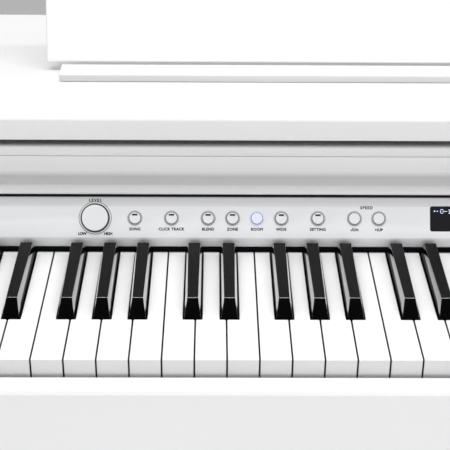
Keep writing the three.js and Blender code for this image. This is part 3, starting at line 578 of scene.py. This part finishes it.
def volume_knob():
    """A white cap on a dark skirt, in a well with a bezel round it."""
    x = middle_x("volume_knob")
    edge = KNOB_EDGE
    skirt = [(0, -5), (3, -5), (3, 0.5), (KNOB_RADIUS, 0.5), (KNOB_RADIUS - 0.1, KNOB_PROUD - 0.9),
             (KNOB_RADIUS - 0.55, KNOB_PROUD - 0.5), (0, KNOB_PROUD - 0.5)]
    cap = [(0, KNOB_PROUD - 0.7), (KNOB_RADIUS - 0.6, KNOB_PROUD - 0.7)]
    cap += [(KNOB_RADIUS - 0.6 - edge + u, KNOB_PROUD - edge + v) for u, v in arc((0, 0), edge, 0, 90, 6)]
    cap += [(8, KNOB_PROUD - 0.03), (4, KNOB_PROUD - 0.08), (0, KNOB_PROUD - 0.1)]
    bm = bmesh.new()
    lathe(bm, cap, around(x), 96, 0)
    lathe(bm, skirt, around(x), 96, 1)
    knob = new_object("volume_knob_cap", bm, ["button", "dark_grey"], "volume_knob")
    soften(knob, 0.00015, 2, 50)
    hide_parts("volume_knob")
    ring("volume_knob_well", x, 10.4, BEZEL_INNER + 0.05, -0.3, 0.04, 0.01, "black_plastic", "black_plastic")
    ring("volume_knob_bezel", x, BEZEL_INNER, BEZEL_OUTER, -0.3, 0.5, 0.22, "button", "button_plastic")
    ring("volume_knob_seam", x, BEZEL_OUTER - 0.02, BEZEL_OUTER + 0.4, -0.3, 0.03, 0.01, "black_plastic",
         "black_plastic")


volume_knob()


def display():
    """The display's dark window, rounded at its corners."""
    low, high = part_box("display_window")
    half = (high.x - low.x) / 2 / MM
    bm = bmesh.new()
    prism(bm, rounded_rectangle(half, 10.1, 1.5, 6), around(0, CONTROL_LINE), -2.2, 0.2)
    window = new_object("display_glass", bm, "glass_black", "cabinet")
    soften(window, 0.00025, 2, 40)
    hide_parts("display_window")


display()

DIGITS = {
    "0": ("01110", "10001", "10001", "10001", "10001", "10001", "01110"),
    "1": ("00100", "01100", "00100", "00100", "00100", "00100", "01110"),
    "2": ("01110", "10001", "00001", "00110", "01000", "10000", "11111"),
    "-": ("00000", "00000", "00000", "11111", "00000", "00000", "00000"),
}
PIXEL = 0.52
PIXEL_LOW, PIXEL_HIGH = 0.19, 0.23


def display_digits(text, x, up):
    """Lit square dots just proud of the display."""
    bm = bmesh.new()
    for place, mark in enumerate(text):
        for row, line in enumerate(DIGITS[mark]):
            for column, lit in enumerate(line):
                if lit == "1":
                    u, v = x + (place * 6 + column) * PIXEL, up - row * PIXEL
                    prism(bm, rounded_rectangle(0.21, 0.21, 0.05, 1, (u, v)), around(0, 0), PIXEL_LOW, PIXEL_HIGH)
    new_object("display_digits", bm, "pixel", "cabinet")


display_digits("0-120", -11.6, 23.6)


def display_dots():
    """Two round dots before the digits."""
    bm = bmesh.new()
    for u, radius in ((-16.6, 0.55), (-14.3, 0.42)):
        prism(bm, [(u + radius * math.cos(a * math.pi / 6), 22.2 + radius * math.sin(a * math.pi / 6))
                   for a in range(12)], around(0, 0), PIXEL_LOW, PIXEL_HIGH)
    new_object("display_dots", bm, "pixel", "cabinet")


display_dots()


# ---------------------------------------------------------------- printed marks
def word_mesh(word, height, spread):
    """A word as a thin flat mesh in millimetres, centred on the origin."""
    curve = bpy.data.curves.new("word", "FONT")
    curve.body = word
    curve.size = height / 0.72
    curve.align_x, curve.align_y = "CENTER", "CENTER"
    curve.space_character = spread
    curve.extrude = 0.015
    curve.resolution_u = 2
    holder = bpy.data.objects.new("word", curve)
    bpy.context.scene.collection.objects.link(holder)
    bpy.context.view_layer.update()
    flat = bpy.data.meshes.new_from_object(holder.evaluated_get(bpy.context.evaluated_depsgraph_get()))
    bpy.data.objects.remove(holder)
    return flat


WORD_HEIGHT = 2.3
STROKE_SHIFTS = ((0.13, 0.08), (-0.13, 0.08), (0.13, -0.08), (-0.13, -0.08), (0, 0.14), (0, -0.14))


def panel_words():
    """Short generic words and signs beside the controls, each stroke thickened by shifted copies."""
    knob_x = middle_x("volume_knob")
    words = [("LEVEL", knob_x, 30.4, 1.35), ("LOW", knob_x - 10.4, 2.9, 0.8), ("HIGH", knob_x + 10.8, 2.9, 0.8),
             ("SPEED", -72.5, 24.7, 1.25), ("SOUND", 72.5, 24.7, 1.25)]
    words += [(sign, x, 6.6, 1) for sign, x in (("-/DN", -82.5), ("+/UP", -62.5), ("-/DN", 62.5), ("+/UP", 82.5))]
    words += [("OFF / ON", middle_x("power_button"), 6.8, 1.05)]
    names = ("SONG", "CLICK TRACK", "BLEND", "ZONE", "ROOM", "WIDE", "SETTING")
    words += [(word, middle_x(name), 6.8, 1.05) for word, name in zip(names, PANEL_BUTTONS)]
    bm = bmesh.new()
    for word, x, up, spread in words:
        flat = word_mesh(word, WORD_HEIGHT, spread)
        shapes = [v.co.copy() for v in flat.vertices]
        for count, (du, dv) in enumerate(STROKE_SHIFTS):
            for vertex, shape in zip(flat.vertices, shapes):
                vertex.co = on_panel(x + shape.x + du, up + shape.y + dv, 0.02 + 0.001 * count + shape.z)
            bm.from_mesh(flat)
        bpy.data.meshes.remove(flat)
    new_object("panel_marks", bm, "print", "cabinet", smooth=False)


panel_words()


# ---------------------------------------------------------------- music rest prop, pedals, speakers
def wire(name, points, radius, material, body, sides=16):
    """A round wire along the given points, with filled ends."""
    curve = bpy.data.curves.new(name, "CURVE")
    curve.dimensions = "3D"
    curve.bevel_depth = radius
    curve.bevel_resolution = sides // 4
    curve.use_fill_caps = True
    spline = curve.splines.new("POLY")
    spline.points.add(len(points) - 1)
    for point, place in zip(spline.points, points):
        point.co = (*place, 1)
    holder = bpy.data.objects.new(name, curve)
    bpy.context.scene.collection.objects.link(holder)
    bpy.context.view_layer.update()
    mesh = bpy.data.meshes.new_from_object(holder.evaluated_get(bpy.context.evaluated_depsgraph_get()))
    bpy.data.objects.remove(holder)
    bm = bmesh.new()
    bm.from_mesh(mesh)
    bmesh.ops.remove_doubles(bm, verts=bm.verts, dist=1e-6)
    return new_object(name, bm, material, body)


def rounded_path(corners, radius, steps=6):
    """Points along straight runs whose corners are turned with a radius."""
    points = [corners[0]]
    for before, corner, after in zip(corners, corners[1:], corners[2:]):
        a, b = (before - corner).normalized(), (after - corner).normalized()
        start, end = corner + a * radius, corner + b * radius
        points += [start.lerp(corner, t).lerp(corner.lerp(end, t), t) for t in (k / steps for k in range(steps + 1))]
    return points + [corners[-1]]


REST_HINGE = Vector(joints["music_rest_fold"]["pos_m"])
PROP_HINGE = Vector(joints["music_rest_prop_fold"]["pos_m"])


def rest_prop():
    """The bent wire behind the rest, from one pin down to the foot and back up to the other pin."""
    low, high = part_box("music_rest_prop")
    half, pin, inset = 0.055, 0.069, 0.0027
    foot = Vector((0, high.y - inset, low.z + inset))
    down = foot - Vector((0, PROP_HINGE.y, PROP_HINGE.z))
    left_half = [(-pin, 0), (-half, 0), (-half, 1)]
    corners = [Vector((x, PROP_HINGE.y, PROP_HINGE.z)) + down * share
               for x, share in left_half + [(-x, share) for x, share in reversed(left_half)]]
    piece = wire("rest_prop_wire", rounded_path(corners, 0.005), 0.0019, "steel", "music_rest_prop")
    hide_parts("music_rest_prop")


rest_prop()


def pedal(name):
    """A pedal whose tongue swells towards a rounded, thinner tip, cast and polished."""
    low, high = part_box(name)
    x = (low.x + high.x) / 2
    half = (high.x - low.x) / 2
    thick = high.z - low.z
    length = high.y - low.y
    stations = 40
    ring = 16
    bm = bmesh.new()
    rows = []
    for k in range(stations + 1):
        t = k / stations
        along = low.y + length * (1 - math.cos(math.pi / 2 * t) if t < 0.5 else 1 - math.cos(math.pi / 4) +
                                  (t - 0.5) * 2 * math.cos(math.pi / 4))
        from_tip = along - low.y
        round_tip = math.sqrt(max(0.0, 1 - (1 - min(1.0, from_tip / half)) ** 2))
        neck = 0.72 + 0.28 * (0.5 + 0.5 * math.cos(math.pi * min(1.0, max(0.0, (from_tip - 0.03) / 0.035))))
        width = max(0.0004, half * round_tip * neck)
        depth = thick / 2 * (0.35 + 0.65 * round_tip)
        centre = (low.z + high.z) / 2
        rows.append([bm.verts.new((x + width * math.copysign(abs(math.cos(a)) ** 0.6, math.cos(a)), along,
                                   centre + depth * math.copysign(abs(math.sin(a)) ** 0.75, math.sin(a))))
                     for a in (2 * math.pi * (i + 0.5) / ring for i in range(ring))])
    for a, b in zip(rows, rows[1:]):
        for i in range(ring):
            j = (i + 1) % ring
            bm.faces.new((a[i], a[j], b[j], b[i]))
    bm.faces.new(rows[0][::-1])
    bm.faces.new(rows[-1])
    piece = new_object(f"{name}_casting", bm, "brass", name)
    smooth = piece.modifiers.new("surface", "SUBSURF")
    smooth.levels = smooth.render_levels = 1
    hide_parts(name)


for name in ("left_pedal", "middle_pedal", "right_pedal"):
    pedal(name)


def speaker(name):
    """A round driver facing down, and the pressed grille under it."""
    low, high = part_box(name)
    centre = (low + high) / 2
    place = lambda u, v, height: Vector((centre.x + u * MM, centre.y + v * MM, low.z + height * MM))
    bm = bmesh.new()
    basket = [(0, 52), (26, 52), (27, 50), (28, 36), (40, 22), (53, 10), (55, 4.2), (64.6, 4), (65, 3.6), (65, 0.2),
              (50.5, 0), (50, 1), (52, 3)]
    lathe(bm, basket, place, 64, 0)
    cone = [(52, 3)] + [(46 + 4 * math.cos(a), 2.6 + 2.4 * math.sin(a)) for a in
                        (math.pi * k / 8 for k in range(9))] + [(40, 3), (30, 11), (18, 19), (16, 20)]
    lathe(bm, cone, place, 64, 1)
    cap = [(16 * math.cos(a), 20 - 7 * math.sin(a)) for a in (math.pi / 2 * k / 8 for k in range(8))] + [(0, 13)]
    lathe(bm, cap, place, 64, 1)
    bmesh.ops.remove_doubles(bm, verts=bm.verts, dist=1e-6)
    piece = new_object(f"{name}_driver", bm, ["black_plastic", "cone"], "cabinet")
    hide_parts(name)
    # Pressed grille let into the hole in the keybed.
    keybed_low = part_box("keybed")[0]
    bm = bmesh.new()
    bars = 13
    for k in range(-bars, bars + 1):
        reach = math.sqrt(max(0.0, 50.5 ** 2 - (k * 3.8) ** 2))
        if reach < 4:
            continue
        for turned in (False, True):
            outline = rounded_rectangle(reach, 0.7, 0.3, 2, (0, k * 3.8))
            spin = (lambda u, v: (v, u)) if turned else (lambda u, v: (u, v))
            lift = 1.2 if turned else 0
            prism(bm, [spin(u, v) for u, v in outline],
                  lambda u, v, h: Vector((centre.x + u * MM, centre.y + v * MM, keybed_low.z + h * MM)),
                  1.5 + lift, 2.6 + lift)
    lathe(bm, [(48.5, 0.4), (51.5, 0.4), (51.5, 5), (48.5, 5), (48.5, 0.4)],
          lambda u, v, h: Vector((centre.x + u * MM, centre.y + v * MM, keybed_low.z + h * MM)), 64)
    new_object(f"{name}_grille", bm, "black_plastic", "cabinet")


speaker("left_speaker")
speaker("right_speaker")


def adjuster():
    """The threaded foot that holds the pedal rail up from the floor."""
    low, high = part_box("pedal_adjuster")
    centre = (low + high) / 2
    place = lambda u, v, h: Vector((centre.x + u * MM, centre.y + v * MM, low.z + h * MM))
    top = (high.z - low.z) / MM
    profile = [(0, 0), (11.5, 0), (12.8, 0.8), (13, 2), (13, 12), (12.2, 13.4), (8, 14), (5, 14.5)]
    thread = [(5 if k % 2 else 4.2, 15 + k * 0.9) for k in range(int((top - 16) / 0.9))]
    bm = bmesh.new()
    lathe(bm, profile + thread + [(4.2, top), (0, top)], place, 48)
    piece = new_object("adjuster_foot", bm, "black_plastic", "cabinet")
    soften(piece, 0.0002, 2, 60)
    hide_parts("pedal_adjuster")


adjuster()


# ---------------------------------------------------------------- hinges and screws
def barrel(name, middle, axis, length, radius, material, body):
    """A short pin with eased ends."""
    axis = Vector(axis).normalized()
    side = axis.orthogonal().normalized()
    other = axis.cross(side)
    bm = bmesh.new()
    lathe(bm, [(0, -length / 2), (radius * 0.85, -length / 2), (radius, -length / 2 + radius * 0.15),
               (radius, length / 2 - radius * 0.15), (radius * 0.85, length / 2), (0, length / 2)],
          lambda u, v, h: Vector(middle) + side * u + other * v + axis * h, 24)
    return new_object(name, bm, material, body)


for count, x in enumerate((-0.27, 0.0, 0.27)):
    for part, (shift, body) in enumerate(((-0.021, "cabinet"), (0, "music_rest"), (0.021, "cabinet"))):
        barrel(f"rest_hinge_{count + 1}_{part + 1}", (x + shift, REST_HINGE.y, REST_HINGE.z), (1, 0, 0), 0.0195,
               0.0032, "steel", body)


def screws(name, places, axis, radius, body):
    """Round-headed screws, as one piece of separate solids."""
    axis = Vector(axis).normalized()
    side = axis.orthogonal().normalized()
    other = axis.cross(side)
    bm = bmesh.new()
    for place in places:
        stand = lambda u, v, h: Vector(place) + side * u + other * v + axis * h
        head = [(radius, -0.0004)] + [(radius * math.cos(a), radius * 0.34 * math.sin(a)) for a in
                                      (math.pi / 2 * k / 6 for k in range(1, 6))] + [(radius * 0.05, radius * 0.34)]
        lathe(bm, [(0, -0.0004)] + head + [(0, radius * 0.34)], stand, 24)
    return new_object(name, bm, "screw", body)


REAR_LOW, REAR_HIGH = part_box("rear_panel")
BACK_LOW, BACK_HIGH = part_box("back_board")
screws("rear_panel_screws", [(x, REAR_HIGH.y - 0.0012, z) for z in (REAR_LOW.z + 0.012, REAR_HIGH.z - 0.012)
                             for x in (-0.64, -0.42, -0.21, 0.0, 0.21, 0.42, 0.64)], (0, 1, 0), 0.0036, "cabinet")
screws("back_board_screws", [(x, BACK_HIGH.y, z) for x in (BACK_LOW.x + 0.015, BACK_HIGH.x - 0.015)
                             for z in (BACK_LOW.z + 0.04, (BACK_LOW.z + BACK_HIGH.z) / 2, BACK_HIGH.z - 0.04)],
       (0, 1, 0), 0.004, "cabinet")

# ---------------------------------------------------------------- floor and light
def stage():
    """A plain pale floor."""
    bm = bmesh.new()
    bmesh.ops.create_grid(bm, x_segments=1, y_segments=1, size=9)
    mesh = bpy.data.meshes.new("floor")
    bm.to_mesh(mesh)
    bm.free()
    floor = bpy.data.objects.new("floor", mesh)
    bpy.context.scene.collection.objects.link(floor)
    mesh.materials.append(surface("floor", (0.86, 0.86, 0.86), 0.6, vary=0.01, vary_scale=0.7, bump=0.02,
                                  bump_scale=60))
    floor.location.z = -0.0005


stage()


def area_light(name, place, target, size, power):
    """A rectangular light that faces a target; power in watts."""
    data = bpy.data.lights.new(name, "AREA")
    data.shape = "RECTANGLE"
    data.size, data.size_y = size
    data.energy = power
    light = bpy.data.objects.new(name, data)
    bpy.context.scene.collection.objects.link(light)
    light.location = place
    light.rotation_mode = "QUATERNION"
    light.rotation_quaternion = (Vector(target) - Vector(place)).to_track_quat("-Z", "Y")


KEYS_MIDDLE = at_keys(0, 80, 0)
POWER = {"world": 0.37, "overhead": 36, "front_low": 36, "strip": 18}
area_light("overhead", KEYS_MIDDLE + Vector((0, 0.3, 2.2)), KEYS_MIDDLE, (4.0, 2.0), POWER["overhead"])
area_light("front_low", KEYS_MIDDLE + Vector((0, -2.8, 0.35)), KEYS_MIDDLE, (4.5, 1.0), POWER["front_low"])
area_light("strip", KEYS_MIDDLE + Vector((0, 0.121, 2.0)), KEYS_MIDDLE + Vector((0, 0.121, 0)), (3.6, 0.07),
           POWER["strip"])

world = bpy.data.worlds.new("studio")
world.use_nodes = True
world.node_tree.nodes["Background"].inputs["Color"].default_value = (1, 1, 1, 1)
world.node_tree.nodes["Background"].inputs["Strength"].default_value = POWER["world"]
bpy.context.scene.world = world
bpy.context.scene.view_settings.view_transform = "Standard"
bpy.context.scene.view_settings.look = "None"
